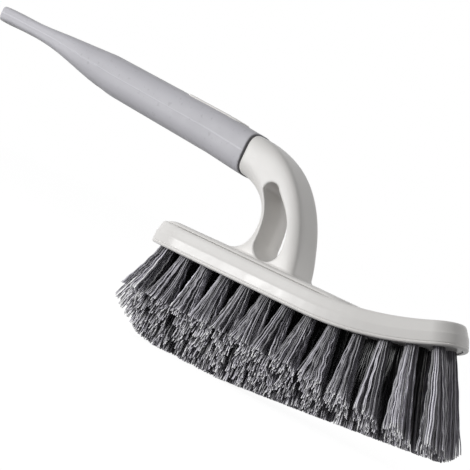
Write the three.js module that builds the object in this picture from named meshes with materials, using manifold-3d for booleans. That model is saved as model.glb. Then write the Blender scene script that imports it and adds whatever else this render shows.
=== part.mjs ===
// Bathroom floor brush: a tufted block under a handle with an open neck and a soft grip.
// Millimetres, +Z up, +X from the handle's tail to the toe. The bristle tips stand on z = 0.
import * as THREE from 'three';
import { mergeVertices } from 'three/addons/utils/BufferGeometryUtils.js';
import Module from 'manifold-3d';

const wasm = await Module();
wasm.setup();

// Fits
const CLEARANCE = 0.3;

// Brush block: three plan circles joined by tangents, swept up along an arc at the toe
const BLOCK_LENGTH = 207.6;
const BLOCK_WIDTH = 58;
const SHOULDER_STATION = 126;
const SHOULDER_WIDTH = 55;
const TOE_RADIUS = 16;
const BLOCK_HEIGHT = 13;
const BLOCK_WALL = 3;
const LIP_EDGE = 0.7;
const LIP_INSET = 0.1;
const LIP_HEIGHT = 1.3;
const GROOVE_INSET = 0.4;
const GROOVE_HEIGHT = 1.65;
const BLOCK_CROWN = 1.2;
const CROWN_STEPS = [[0.1, 0.16], [0.27, 0.48], [0.46, 0.58], [1.25, 0.88], [1.8, 1]];
const DECK_THICKNESS = 4.6;
const LEDGE_WIDTH = 2;
const TOE_SWEEP_LENGTH = 88;
const TOE_SWEEP_RADIUS = 200;

// Bristles
const BRISTLE_HEIGHT = 52.5;
const TUFT_PLATE_THICKNESS = 4.6;
const TUFT_PLATE_RECESS = 0.6;
const TUFT_PITCH = 15;
const TUFT_ROW_PITCH = 10.8;
const TUFT_LEAST_GAP = 8.5;
const TUFT_EDGE = 7.2;
const TUFT_TOE_EDGE = 10.3;
const TUFT_HOLE_RADIUS = 1.9;
const TUFT_SPREAD = 4.7;
const STRAND_RADIUS = 0.8;
const STRANDS_ROUND_TUFT = 6;
const TUFT_OUTER_ROW = 2;
const TUFT_PLATE_CUT = 0.5;
const TUFT_PLATES = ['bristles_heel', 'bristles_mid_heel', 'bristles_mid_toe', 'bristles_toe'];

// Trim of the bristle tips: a flat sole strip, bevelled flanks, a raised heel and a rocker at the toe
const SOLE_HALF_WIDTH = 7;
const FLANK_RISE = 25;
const FLANK_HALF_WIDTH = 27;
const HEEL_TRIM_LENGTH = 29.5;
const HEEL_TRIM_RISE = 9;
const TOE_TRIM_LENGTH = 161.5;
const TOE_TRIM_RISE = 15.8;
const TOE_TRIM_POWER = 1.1;
const TOE_CORNER_START = 10;
const TOE_CORNER_LENGTH = 8;
const TOE_CORNER_RISE = 6;
const SIDE_FAN = 3.6;
const HEEL_FAN = 12.5;
const HEEL_FAN_LENGTH = 46;
const TOE_FAN = -1.8;

// Handle frame: base plate, open neck and the core inside the grip
const PLATE_TOE_GAP = 61;
const PLATE_MARGIN = 3.4;
const PLATE_FRONT_RADIUS = 21;
const PLATE_THICKNESS = 3.4;
const PLATE_PROUD = 2.6;
const NECK_WIDTH = 25;
const NECK_SECTION_POWER = 7;
const NECK_COLLAR = 4;
const NECK_WAIST_RISE = 16;
const NECK_HOOK_SHARE = 0.7;
const NECK_FLARE = 12.5;
const NECK_FRONT = 97.2;
const NECK_FOOT_LENGTH = 36.2;
const NECK_HEIGHT = 63;
const NECK_DEPTH = 23.6;
const NECK_REACH = 63.9;
const FRONT_TOP_PULL = new THREE.Vector2(0.6, 0.025);
const FRONT_FOOT_PULL = new THREE.Vector2(6.5, 31);
const HOOK_TOP_PULL = new THREE.Vector2(11, 2);
const HOOK_WAIST_PULL = 13;
const FLARE_WAIST_PULL = 8;
const FLARE_FOOT_PULL = new THREE.Vector2(3, 1);
const HOLE_TOP_RADIUS = 4.9;
const HOLE_FOOT_RADIUS = 8.7;
const HOLE_FOOT_RISE = 9.2;
const HOLE_FRONT_WALL = 13.6;
const HOLE_TOP_SHARE = 0.441;
const HOLE_TOP_DROP = 1;
const HOLE_TOP_START = 0.5;
const HOLE_BACK_PULLS = [7, 12];
const HOLE_FOOT_PULL = 16;
const HOLE_FRONT_PULL = new THREE.Vector2(12, 4);

// Grip
const GRIP_LENGTH = 216;
const GRIP_WIDTH = 26;
const GRIP_DEPTH = 25.1;
const GRIP_WALL = 3;
const GRIP_SECTION_POWER = 2.7;
const GRIP_RING_POWER = 3.6;
const GRIP_RING_END = 0.35;
const GRIP_STEP = 0.9;
const GRIP_SHOULDER = 0.9;
const GRIP_RISE = 9;
const TAIL_RISE = 1.4;
const WAIST_DEPTH = 22.9;
const TAIL_DEPTH = 9.7;
const TAIL_WIDTH = 25;
const SHOULDER_END = 0.15;
const HAND_END = 0.55;
const TAPER_START = 0.5;
const TAPER_END = 0.85;
const TAIL_TURN_START = 0.75;
const TAIL_EDGE_DEPTH = 0.55;
const TAIL_EDGE_RATE = 1.6;
const CORE_LENGTH = 150;
const SPIGOT_LENGTH = 4;
const SPIGOT_OVERLAP = 1;
const SLOT_LENGTH = 33;
const SLOT_WIDTH = 9;
const SLOT_END_WALL = 8.5;

// Raised inlay on top of the grip
const INLAY_LENGTH = 46;
const INLAY_WIDTH = 13;
const INLAY_THICKNESS = 3.8;
const INLAY_PROUD = 0.5;
const INLAY_START = 13;
const INLAY_EDGE = 0.8;
const INLAY_EDGE_STEPS = [[1, 0.6], [2.4, 1]];

// Screws from the block up into the bosses under the base plate
const SCREW_HEAD_RADIUS = 5.5;
const SCREW_HEAD_HEIGHT = 2;
const SCREW_HEAD_CROWN = [0.7, 0.5];
const SCREW_SHANK_RADIUS = 1.7;
const SCREW_LENGTH = 5;
const BOSS_RADIUS = 4;
const SCREW_SIDE = 13;
const SCREW_INSET = 22;

// Facets
const ARC_STEPS = 12;
const SIDE_STEPS = 9;
const SHOULDER_STEPS = 3;
const SECTION_POINTS = 24;
const HOLE_SIDES = 16;
const CURVE_STEPS = 8;
const NECK_STEPS = 16;
const GRIP_STEPS = 18;
const TAIL_STEPS = 8;
const TAIL_LAST_STEP = 0.97;

// Derived heights and stations
const deckTop = BRISTLE_HEIGHT + BLOCK_HEIGHT;
const plateTop = deckTop + PLATE_PROUD;
const heelEnd = -BLOCK_LENGTH / 2;
const toeEnd = BLOCK_LENGTH / 2;
const heelRadius = BLOCK_WIDTH / 2;
const sweepStart = toeEnd - TOE_SWEEP_LENGTH;
const plateFront = toeEnd - PLATE_TOE_GAP;
const neckFront = heelEnd + NECK_FRONT;
const ringX = neckFront - NECK_REACH;
const ringTop = plateTop + NECK_HEIGHT;
const ringMiddle = ringTop - NECK_DEPTH / 2;

const WHITE = { color: 0xe9e7e4, roughness: 0.38, metalness: 0 };
const GREY = { color: 0xa9a7ae, roughness: 0.7, metalness: 0 };
const FILAMENT = { color: 0x55545c, roughness: 0.6, metalness: 0 };
const STEEL = { color: 0xb8babd, roughness: 0.3, metalness: 1 };

// Solids

// Turns a list of triangles round if they face inwards.
function closedGeometry(positions, indices) {
  let volume = 0;
  const [a, b, c] = [new THREE.Vector3(), new THREE.Vector3(), new THREE.Vector3()];
  for (let i = 0; i < indices.length; i += 3) {
    a.fromArray(positions, 3 * indices[i]);
    b.fromArray(positions, 3 * indices[i + 1]);
    c.fromArray(positions, 3 * indices[i + 2]);
    volume += a.dot(b.cross(c));
  }
  if (volume < 0) indices.reverse();
  const geometry = new THREE.BufferGeometry();
  geometry.setAttribute('position', new THREE.Float32BufferAttribute(positions, 3));
  geometry.setIndex(indices);
  return geometry;
}

// Skins a row of rings. Point i of a ring mirrors point n - 1 - i, so each end closes with cross strips.
function skin(rings) {
  const n = rings[0].length;
  const positions = rings.flat().flatMap((p) => p.toArray());
  const indices = [];
  for (let r = 0; r + 1 < rings.length; r++) {
    for (let i = 0; i < n; i++) {
      const j = (i + 1) % n;
      const low = r * n;
      const high = low + n;
      indices.push(low + i, low + j, high + j, low + i, high + j, high + i);
    }
  }
  const last = (rings.length - 1) * n;
  for (let i = 0; i + 1 < n / 2; i++) {
    const far = n - 1 - i;
    indices.push(i, far - 1, i + 1, i, far, far - 1);
    indices.push(last + i, last + i + 1, last + far - 1, last + i, last + far - 1, last + far);
  }
  return closedGeometry(positions, indices);
}

function solid(geometry) {
  const plain = geometry.clone();
  plain.deleteAttribute('normal');
  plain.deleteAttribute('uv');
  const merged = mergeVertices(plain, 1e-4);
  return new wasm.Manifold(new wasm.Mesh({
    numProp: 3,
    vertProperties: new Float32Array(merged.attributes.position.array),
    triVerts: new Uint32Array(merged.index.array),
  }));
}

function geometryOf(manifold) {
  const mesh = manifold.getMesh();
  const geometry = new THREE.BufferGeometry();
  geometry.setAttribute('position', new THREE.BufferAttribute(mesh.vertProperties, 3));
  geometry.setIndex(new THREE.BufferAttribute(mesh.triVerts, 1));
  return geometry;
}

function node(name, geometry, look) {
  geometry.computeVertexNormals();
  const mesh = new THREE.Mesh(geometry, new THREE.MeshStandardMaterial(look));
  mesh.name = name;
  return mesh;
}

// A rounded section that spans two points of the side view.
function sectionBetween(top, bottom, width, power) {
  const ring = [];
  for (let k = 0; k < SECTION_POINTS; k++) {
    const angle = (2 * Math.PI * (k + 0.5)) / SECTION_POINTS;
    const [s, c] = [Math.sin(angle), Math.cos(angle)];
    const y = (width / 2) * Math.sign(s) * Math.abs(s) ** (2 / power);
    const along = (1 - Math.sign(c) * Math.abs(c) ** (2 / power)) / 2;
    const p = top.clone().lerp(bottom, along);
    ring.push(new THREE.Vector3(p.x, y, p.y));
  }
  return ring;
}

// Plan outlines

// Outline round a row of circles on the middle line and their tangents: +Y side to the toe, -Y side back.
function circlesOutline(circles) {
  const tangents = circles.slice(1).map((next, i) => (
    Math.PI / 2 - Math.asin((circles[i].r - next.r) / (next.x - circles[i].x))));
  const tip = Math.PI / ARC_STEPS / 4;
  const half = [];
  circles.forEach(({ x, r }, i) => {
    const from = i === 0 ? Math.PI - tip : tangents[i - 1];
    const to = i === circles.length - 1 ? tip : tangents[i];
    const steps = i === 0 || i === circles.length - 1 ? ARC_STEPS : SHOULDER_STEPS;
    const arc = [];
    for (let k = 0; k <= steps; k++) {
      const angle = THREE.MathUtils.lerp(from, to, k / steps);
      arc.push(new THREE.Vector2(x + r * Math.cos(angle), r * Math.sin(angle)));
    }
    const last = half[half.length - 1];
    for (let k = 1; last && k < SIDE_STEPS; k++) half.push(last.clone().lerp(arc[0], k / SIDE_STEPS));
    half.push(...arc);
  });
  const mirrored = half.map((p) => new THREE.Vector2(p.x, -p.y)).reverse();
  return [...half, ...mirrored];
}

function blockOutline(inset) {
  return circlesOutline([
    { x: heelEnd + heelRadius, r: heelRadius - inset },
    { x: heelEnd + SHOULDER_STATION, r: SHOULDER_WIDTH / 2 - inset },
    { x: toeEnd - TOE_RADIUS, r: TOE_RADIUS - inset },
  ]);
}

// Half the block's width at a station, drawn in by an inset.
function halfWidthAt(x, inset) {
  const outline = blockOutline(inset);
  const side = outline.slice(0, outline.length / 2);
  const next = side.findIndex((p) => p.x >= x);
  if (next <= 0) return 0;
  const [a, b] = [side[next - 1], side[next]];
  return THREE.MathUtils.mapLinear(x, a.x, b.x, a.y, b.y);
}

// Carries a point of the straight block, at a height above its underside, up the toe's arc.
function sweep(x, y, height) {
  if (x <= sweepStart) return new THREE.Vector3(x, y, BRISTLE_HEIGHT + height);
  const angle = (x - sweepStart) / TOE_SWEEP_RADIUS;
  const radius = TOE_SWEEP_RADIUS - height;
  return new THREE.Vector3(
    sweepStart + radius * Math.sin(angle),
    y,
    BRISTLE_HEIGHT + TOE_SWEEP_RADIUS - radius * Math.cos(angle),
  );
}

function blockRing(inset, height) {
  return blockOutline(inset).map((p) => sweep(p.x, p.y, height));
}

// Brush block

const ceiling = BLOCK_HEIGHT - DECK_THICKNESS;
const plateSeat = TUFT_PLATE_RECESS + TUFT_PLATE_THICKNESS + CLEARANCE;

function plateOutline(grow) {
  const heel = { x: heelEnd + heelRadius, r: heelRadius - PLATE_MARGIN + grow };
  const toe = { x: plateFront - PLATE_FRONT_RADIUS, r: PLATE_FRONT_RADIUS + grow };
  return circlesOutline([heel, toe]);
}

function plateSlab(grow, low, high) {
  const at = (z) => plateOutline(grow).map((p) => new THREE.Vector3(p.x, p.y, z));
  return skin([at(low), at(high)]);
}

function screwPlaces() {
  const stations = [heelEnd + SCREW_INSET, plateFront - SCREW_INSET];
  return stations.flatMap((x) => [[x, SCREW_SIDE], [x, -SCREW_SIDE]]);
}

function post(radius, low, high, [x, y]) {
  const geometry = new THREE.CylinderGeometry(radius, radius, high - low, HOLE_SIDES);
  geometry.rotateX(Math.PI / 2);
  geometry.translate(x, y, (low + high) / 2);
  return solid(geometry);
}

// Walls with a lip, an upright foot and a bevel above it, open below, with a ledge for the tuft plates.
function brushBlock() {
  const shell = skin([
    blockRing(BLOCK_WALL + LEDGE_WIDTH, ceiling),
    blockRing(BLOCK_WALL + LEDGE_WIDTH, plateSeat),
    blockRing(BLOCK_WALL, plateSeat),
    blockRing(BLOCK_WALL, 0),
    blockRing(LIP_EDGE, 0),
    blockRing(LIP_INSET, LIP_EDGE),
    blockRing(LIP_INSET, LIP_HEIGHT),
    blockRing(GROOVE_INSET, GROOVE_HEIGHT),
    ...CROWN_STEPS.map(([inset, height]) => blockRing(inset * BLOCK_CROWN, height * BLOCK_HEIGHT)),
  ]);
  const seatDepth = PLATE_THICKNESS - PLATE_PROUD + CLEARANCE;
  const pocket = plateSlab(CLEARANCE, deckTop - seatDepth, plateTop + BLOCK_HEIGHT);
  let block = solid(shell).subtract(solid(pocket));
  for (const place of screwPlaces()) {
    block = block.subtract(post(BOSS_RADIUS + CLEARANCE, BRISTLE_HEIGHT + plateSeat, plateTop, place));
  }
  return node('brush_block', geometryOf(block), WHITE);
}

// Bristles

// Height of the trimmed tips above the floor.
function trimAt(x, y) {
  const heel = Math.max(0, heelEnd + HEEL_TRIM_LENGTH - x) / HEEL_TRIM_LENGTH;
  const toe = Math.max(0, x - toeEnd + TOE_TRIM_LENGTH - heelRadius) / TOE_TRIM_LENGTH;
  const corner = Math.max(0, x - toeEnd - TOE_CORNER_START) / TOE_CORNER_LENGTH;
  const rocker = TOE_TRIM_RISE * Math.min(1, toe) ** TOE_TRIM_POWER + TOE_CORNER_RISE * corner ** 2;
  const ridge = HEEL_TRIM_RISE * heel ** 2 + rocker;
  const flank = (Math.abs(y) - SOLE_HALF_WIDTH) / (FLANK_HALF_WIDTH - SOLE_HALF_WIDTH);
  return THREE.MathUtils.lerp(ridge, Math.max(FLANK_RISE, ridge), THREE.MathUtils.clamp(flank, 0, 1));
}

// Rows of tufts inside the outline, drawn together where the block narrows and thinned there.
function tuftPlaces() {
  const places = [];
  const span = BLOCK_LENGTH - TUFT_EDGE - TUFT_TOE_EDGE;
  const columns = Math.round(span / TUFT_PITCH);
  const pitch = span / columns;
  for (let row = -TUFT_OUTER_ROW; row <= TUFT_OUTER_ROW; row++) {
    for (let column = 0; column <= columns; column++) {
      const x = heelEnd + TUFT_EDGE + column * pitch;
      const room = Math.min(halfWidthAt(x, TUFT_EDGE), TUFT_OUTER_ROW * TUFT_ROW_PITCH);
      const pairFits = room >= TUFT_LEAST_GAP / 2;
      const middleFits = room >= TUFT_LEAST_GAP || !pairFits;
      const innerFits = room / TUFT_OUTER_ROW >= TUFT_LEAST_GAP;
      const fits = [middleFits, innerFits, pairFits][Math.abs(row)];
      if (fits) places.push({ x, y: (row * room) / TUFT_OUTER_ROW });
    }
  }
  return { places, pitch, columns };
}

// One tapered three-sided strand from a point in the plate to its cut tip.
function strand(foot, tip) {
  const corner = (centre, radius, k) => {
    const angle = (2 * Math.PI * k) / 3;
    return [centre.x + radius * Math.cos(angle), centre.y + radius * Math.sin(angle), centre.z];
  };
  const corners = [0, 1, 2];
  const positions = [
    ...corners.flatMap((k) => corner(foot, STRAND_RADIUS, k)),
    ...corners.flatMap((k) => corner(tip, STRAND_RADIUS, k)),
  ];
  const indices = [0, 2, 1, 3, 4, 5];
  for (const k of corners) {
    const next = (k + 1) % 3;
    indices.push(k, next, 3 + next, k, 3 + next, 3 + k);
  }
  return solid(closedGeometry(positions, indices));
}

// A tuft's strands leave its hole square to the plate and fan out towards the nearest edge.
function tuftStrands({ x, y }) {
  const root = sweep(x, y, TUFT_PLATE_RECESS + TUFT_PLATE_THICKNESS / 2);
  const below = sweep(x, y, TUFT_PLATE_RECESS + TUFT_PLATE_THICKNESS / 2 - 1);
  const axis = below.sub(root);
  const nearHeel = THREE.MathUtils.clamp((heelEnd + HEEL_FAN_LENGTH - x) / HEEL_FAN_LENGTH, 0, 1);
  const nearToe = THREE.MathUtils.clamp(x / toeEnd, 0, 1);
  const drop = root.z - trimAt(x, y);
  const middle = new THREE.Vector3(
    root.x + (axis.x / -axis.z) * drop - HEEL_FAN * nearHeel + TOE_FAN * nearToe,
    y + (SIDE_FAN * y) / (TUFT_OUTER_ROW * TUFT_ROW_PITCH),
    0,
  );
  const strands = [];
  for (let k = -1; k < STRANDS_ROUND_TUFT; k++) {
    const turn = (2 * Math.PI * k) / STRANDS_ROUND_TUFT;
    const out = k < 0 ? 0 : 1;
    const side = y < 0 ? -1 : 1;
    const foot = root.clone();
    foot.x += out * TUFT_HOLE_RADIUS * Math.cos(turn);
    foot.y += side * out * TUFT_HOLE_RADIUS * Math.sin(turn);
    const tip = middle.clone();
    tip.x += out * TUFT_SPREAD * Math.cos(turn);
    tip.y += side * out * TUFT_SPREAD * Math.sin(turn);
    tip.z = trimAt(tip.x, tip.y);
    strands.push(strand(foot, tip));
  }
  return strands;
}

// A length of the tuft plate, following the block's outline and sweep.
function plateSlice(from, to) {
  const inset = BLOCK_WALL + CLEARANCE;
  const outline = blockOutline(inset);
  const side = outline.slice(0, outline.length / 2).filter((p) => p.x > from + 1 && p.x < to - 1);
  const ends = [from, to].map((x) => new THREE.Vector2(x, halfWidthAt(x, inset)));
  if (ends[0].y > 0) side.unshift(ends[0]);
  if (ends[1].y > 0) side.push(ends[1]);
  const loop = [...side, ...side.map((p) => new THREE.Vector2(p.x, -p.y)).reverse()];
  const at = (height) => loop.map((p) => sweep(p.x, p.y, height));
  return skin([at(TUFT_PLATE_RECESS), at(TUFT_PLATE_RECESS + TUFT_PLATE_THICKNESS)]);
}

// Each length of plate ends half-way between two columns.
function bristles() {
  const { places, pitch, columns } = tuftPlaces();
  const share = Math.round(columns / TUFT_PLATES.length);
  const cut = (k) => heelEnd + TUFT_EDGE + pitch * (share * k + TUFT_PLATE_CUT);
  return TUFT_PLATES.map((name, k) => {
    const from = k === 0 ? heelEnd : cut(k) + CLEARANCE / 2;
    const to = k === TUFT_PLATES.length - 1 ? toeEnd : cut(k + 1) - CLEARANCE / 2;
    const own = places.filter((p) => p.x > from && p.x < to);
    const strands = own.flatMap(tuftStrands);
    const all = wasm.Manifold.union([solid(plateSlice(from, to)), ...strands]);
    return node(name, geometryOf(all), FILAMENT);
  });
}

// Handle frame

// The neck's front line in side view, from the grip down to the plate.
function neckFrontLine() {
  return new THREE.CubicBezierCurve(
    new THREE.Vector2(ringX, ringTop),
    new THREE.Vector2(ringX + FRONT_TOP_PULL.x * NECK_REACH, ringTop - FRONT_TOP_PULL.y * NECK_HEIGHT),
    new THREE.Vector2(neckFront - FRONT_FOOT_PULL.x, plateTop + FRONT_FOOT_PULL.y),
    new THREE.Vector2(neckFront, plateTop),
  );
}

// The neck's back line: a hook under the grip, then a flare on to the plate.
function neckBackLine() {
  const back = neckFront - NECK_FOOT_LENGTH;
  const waist = new THREE.Vector2(back, plateTop + NECK_WAIST_RISE);
  const line = new THREE.CurvePath();
  line.add(new THREE.CubicBezierCurve(
    new THREE.Vector2(ringX, ringTop - NECK_DEPTH),
    new THREE.Vector2(back - HOOK_TOP_PULL.x, ringTop - NECK_DEPTH - HOOK_TOP_PULL.y),
    new THREE.Vector2(back, waist.y + HOOK_WAIST_PULL),
    waist,
  ));
  line.add(new THREE.CubicBezierCurve(
    waist,
    new THREE.Vector2(back, waist.y - FLARE_WAIST_PULL),
    new THREE.Vector2(back - FLARE_FOOT_PULL.x, plateTop + FLARE_FOOT_PULL.y),
    new THREE.Vector2(back - NECK_FLARE, plateTop),
  ));
  return line;
}

// Lofts rounded sections between the front and back lines, and sinks the last into the plate.
function neckBody() {
  const front = neckFrontLine();
  const [hook, flare] = neckBackLine().curves;
  const rings = [];
  for (let i = 0; i <= NECK_STEPS; i++) {
    const t = i / NECK_STEPS;
    const share = t / NECK_HOOK_SHARE;
    const past = (t - NECK_HOOK_SHARE) / (1 - NECK_HOOK_SHARE);
    const back = share <= 1 ? hook.getPoint(share) : flare.getPoint(past);
    rings.push(sectionBetween(front.getPoint(t), back, NECK_WIDTH, NECK_SECTION_POWER));
  }
  const sunk = rings[NECK_STEPS].map((p) => new THREE.Vector3(p.x, p.y, p.z - PLATE_THICKNESS / 2));
  return solid(skin([...rings, sunk]));
}

// The curved finger hole: a small round end under the grip and a wide one at the foot.
function neckHole() {
  const footX = neckFront - HOLE_FRONT_WALL - HOLE_FOOT_RADIUS;
  const footZ = plateTop + HOLE_FOOT_RISE;
  const topX = ringX + HOLE_TOP_SHARE * NECK_REACH;
  const topZ = ringTop - NECK_DEPTH - HOLE_TOP_DROP;
  const footBack = footX - HOLE_FOOT_RADIUS;
  const footFront = footX + HOLE_FOOT_RADIUS;
  const [pullTop, pullFoot] = HOLE_BACK_PULLS;
  const pullFront = HOLE_FRONT_PULL;
  const arriveX = topX + HOLE_TOP_RADIUS * Math.cos(HOLE_TOP_START);
  const arriveZ = topZ + HOLE_TOP_RADIUS * Math.sin(HOLE_TOP_START);
  const hole = new THREE.Shape();
  hole.moveTo(topX - HOLE_TOP_RADIUS, topZ);
  hole.bezierCurveTo(topX, topZ - pullTop, footBack, topZ - pullFoot, footBack, footZ);
  hole.absarc(footX, footZ, HOLE_FOOT_RADIUS, Math.PI, 2 * Math.PI, false);
  hole.bezierCurveTo(
    footFront, footZ + HOLE_FOOT_PULL, topX + pullFront.x, topZ - pullFront.y, arriveX, arriveZ);
  hole.absarc(topX, topZ, HOLE_TOP_RADIUS, HOLE_TOP_START, Math.PI, false);
  return hole;
}

// Extrudes a side view straight across the width and stands it up.
function sidewaysExtrusion(shape, width) {
  const geometry = new THREE.ExtrudeGeometry(shape, {
    depth: width,
    curveSegments: CURVE_STEPS,
    bevelEnabled: false,
  });
  geometry.translate(0, 0, -width / 2);
  geometry.rotateX(Math.PI / 2);
  return solid(geometry);
}

// Grip sections

// The section is squarest at the ring, where the neck goes in.
function gripSection(share, middle, width, depth) {
  const x = ringX - share * GRIP_LENGTH;
  const rounding = THREE.MathUtils.smoothstep(share, 0, GRIP_RING_END);
  const power = THREE.MathUtils.lerp(GRIP_RING_POWER, GRIP_SECTION_POWER, rounding);
  const top = new THREE.Vector2(x, middle + depth / 2);
  const bottom = new THREE.Vector2(x, middle - depth / 2);
  return sectionBetween(top, bottom, width, power);
}

const gripTop = ringMiddle + GRIP_DEPTH / 2;
const tailRadius = TAIL_WIDTH / 2;

// The grip's top line: a shoulder behind the neck, a gentle rise, and a tail that turns up.
function gripTopAt(share) {
  const shoulder = GRIP_SHOULDER * THREE.MathUtils.smoothstep(share, 0, SHOULDER_END);
  const rise = GRIP_RISE * Math.min(1, share / HAND_END);
  return gripTop + shoulder + rise + TAIL_RISE * THREE.MathUtils.smoothstep(share, TAIL_TURN_START, 1);
}

// The hand part thins steadily, then runs out into a flat tail.
function gripDepthAt(share) {
  const hand = THREE.MathUtils.lerp(GRIP_DEPTH, WAIST_DEPTH, Math.min(1, share / HAND_END));
  return THREE.MathUtils.lerp(hand, TAIL_DEPTH, THREE.MathUtils.smoothstep(share, TAPER_START, TAPER_END));
}

function gripStation(share, shrink) {
  const depth = gripDepthAt(share);
  const width = THREE.MathUtils.lerp(GRIP_WIDTH, TAIL_WIDTH, share);
  const fromEnd = GRIP_LENGTH * (1 - share);
  const round = Math.min(1, Math.max(0, fromEnd) / tailRadius);
  const closing = Math.sqrt(1 - (1 - round) ** 2);
  const middle = gripTopAt(share) - depth / 2;
  const thin = THREE.MathUtils.lerp(TAIL_EDGE_DEPTH, 1, Math.min(1, closing * TAIL_EDGE_RATE));
  return gripSection(share, middle, width * closing - 2 * shrink, depth * thin - 2 * shrink);
}

function gripShares(last) {
  const shares = [];
  for (let i = 0; i <= GRIP_STEPS; i++) shares.push((last * i) / GRIP_STEPS);
  return shares;
}

function tailShares() {
  const start = 1 - tailRadius / GRIP_LENGTH;
  const shares = gripShares(start);
  for (let i = 1; i <= TAIL_STEPS; i++) {
    const turn = (Math.PI / 2) * (i / TAIL_STEPS) * TAIL_LAST_STEP;
    shares.push(start + (1 - start) * Math.sin(turn));
  }
  return shares;
}

const coreShare = CORE_LENGTH / GRIP_LENGTH;

function coreSkin(shrink, last) {
  return skin(gripShares(last).map((share) => gripStation(share, shrink)));
}

// A stadium slab lying on the grip's top line, used for the inlay and its pocket.
function inlaySlab(grow, low, high, crown) {
  const half = INLAY_LENGTH / 2;
  const radius = INLAY_WIDTH / 2;
  const middleX = ringX - INLAY_START - half;
  const share = (x) => (ringX - x) / GRIP_LENGTH;
  const ring = (inset, height) => {
    const end = { x: middleX - half + radius, r: radius + grow - inset };
    const other = { x: middleX + half - radius, r: radius + grow - inset };
    const outline = circlesOutline([end, other]);
    return outline.map((p) => new THREE.Vector3(p.x, p.y, gripTopAt(share(p.x)) + height));
  };
  const rings = [ring(0, low), ring(0, high)];
  const edge = crown > 0 ? INLAY_EDGE_STEPS : [];
  edge.forEach(([inset, rise]) => rings.push(ring(inset * crown, high + rise * crown)));
  return solid(skin(rings));
}

function inlayPocket() {
  return inlaySlab(CLEARANCE, INLAY_PROUD - INLAY_THICKNESS - CLEARANCE, GRIP_DEPTH, 0);
}

function handleFrame() {
  const plate = solid(plateSlab(0, deckTop - PLATE_THICKNESS + PLATE_PROUD, plateTop));
  const neck = neckBody();
  const core = solid(coreSkin(GRIP_WALL + CLEARANCE, coreShare));
  const collar = solid(skin([gripStation(0, GRIP_STEP), gripStation(0, GRIP_STEP)].map((ring, i) => (
    ring.map((p) => new THREE.Vector3(p.x + CLEARANCE + i * NECK_COLLAR, p.y, p.z))))));
  const spigotEnds = [-SPIGOT_OVERLAP, SPIGOT_LENGTH - SPIGOT_OVERLAP];
  const spigot = solid(skin(spigotEnds.map((along) => (
    gripStation(0, GRIP_WALL + CLEARANCE).map((p) => new THREE.Vector3(p.x + along, p.y, p.z))))));
  let frame = wasm.Manifold.union([plate, neck, collar, spigot, core]);
  const low = BRISTLE_HEIGHT + ceiling + CLEARANCE;
  for (const place of screwPlaces()) {
    frame = frame.add(post(BOSS_RADIUS, low, plateTop - PLATE_THICKNESS / 2, place));
    frame = frame.subtract(post(SCREW_SHANK_RADIUS + CLEARANCE, low - 1, low + SCREW_LENGTH, place));
  }
  frame = frame.subtract(sidewaysExtrusion(neckHole(), 2 * NECK_WIDTH));
  frame = frame.subtract(inlayPocket());
  return node('handle_frame', geometryOf(frame), WHITE);
}

function gripSleeve() {
  const outer = solid(skin(tailShares().map((share) => gripStation(share, 0))));
  const bore = solid(skin([
    gripStation(0, GRIP_WALL).map((p) => new THREE.Vector3(p.x + 1, p.y, p.z)),
    ...gripShares(coreShare).map((share) => gripStation(share, GRIP_WALL)),
    gripStation(coreShare, GRIP_WALL).map((p) => new THREE.Vector3(p.x - CLEARANCE, p.y, p.z)),
  ]));
  const tail = ringX - GRIP_LENGTH;
  const radius = SLOT_WIDTH / 2;
  const slot = circlesOutline([
    { x: tail + SLOT_END_WALL + radius, r: radius },
    { x: tail + SLOT_END_WALL + SLOT_LENGTH - radius, r: radius },
  ]);
  const slotAt = (z) => slot.map((p) => new THREE.Vector3(p.x, p.y, z));
  const slotCut = solid(skin([slotAt(plateTop), slotAt(gripTop + 3 * GRIP_DEPTH)]));
  const sleeve = outer.subtract(bore).subtract(slotCut).subtract(inlayPocket());
  return node('grip_sleeve', geometryOf(sleeve), GREY);
}

function gripInlay() {
  const inlay = inlaySlab(0, INLAY_PROUD - INLAY_THICKNESS, INLAY_PROUD - INLAY_EDGE, INLAY_EDGE);
  return node('grip_inlay', geometryOf(inlay), WHITE);
}

// A pan-head screw that points up.
function screw(name, [x, y]) {
  const headTop = ceiling + BRISTLE_HEIGHT - CLEARANCE;
  const head = SCREW_HEAD_RADIUS;
  const [flat, edge] = SCREW_HEAD_CROWN;
  const points = [
    [0, -SCREW_HEAD_HEIGHT], [flat * head, -SCREW_HEAD_HEIGHT], [head, -edge * SCREW_HEAD_HEIGHT], [head, 0],
    [SCREW_SHANK_RADIUS, 0], [SCREW_SHANK_RADIUS, SCREW_LENGTH - SCREW_SHANK_RADIUS], [0, SCREW_LENGTH],
  ].map(([r, z]) => new THREE.Vector2(r, z));
  const geometry = new THREE.LatheGeometry(points, HOLE_SIDES);
  geometry.rotateX(Math.PI / 2);
  const mesh = node(name, geometryOf(solid(geometry)), STEEL);
  mesh.position.set(x, y, headTop);
  return mesh;
}

// Assembly, with its origin under the middle of its length

const brush = new THREE.Group();
brush.name = 'bathroom_floor_brush';
brush.add(handleFrame(), gripSleeve(), gripInlay(), brushBlock(), ...bristles());
screwPlaces().forEach((place, i) => brush.add(screw(`base_screw_${i + 1}`, place)));
const middle = new THREE.Box3().setFromObject(brush).getCenter(new THREE.Vector3());
brush.position.x = -middle.x;

export default brush;
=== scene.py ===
import math

import bmesh
import bpy
import numpy as np
from mathutils import Matrix, Vector


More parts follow.
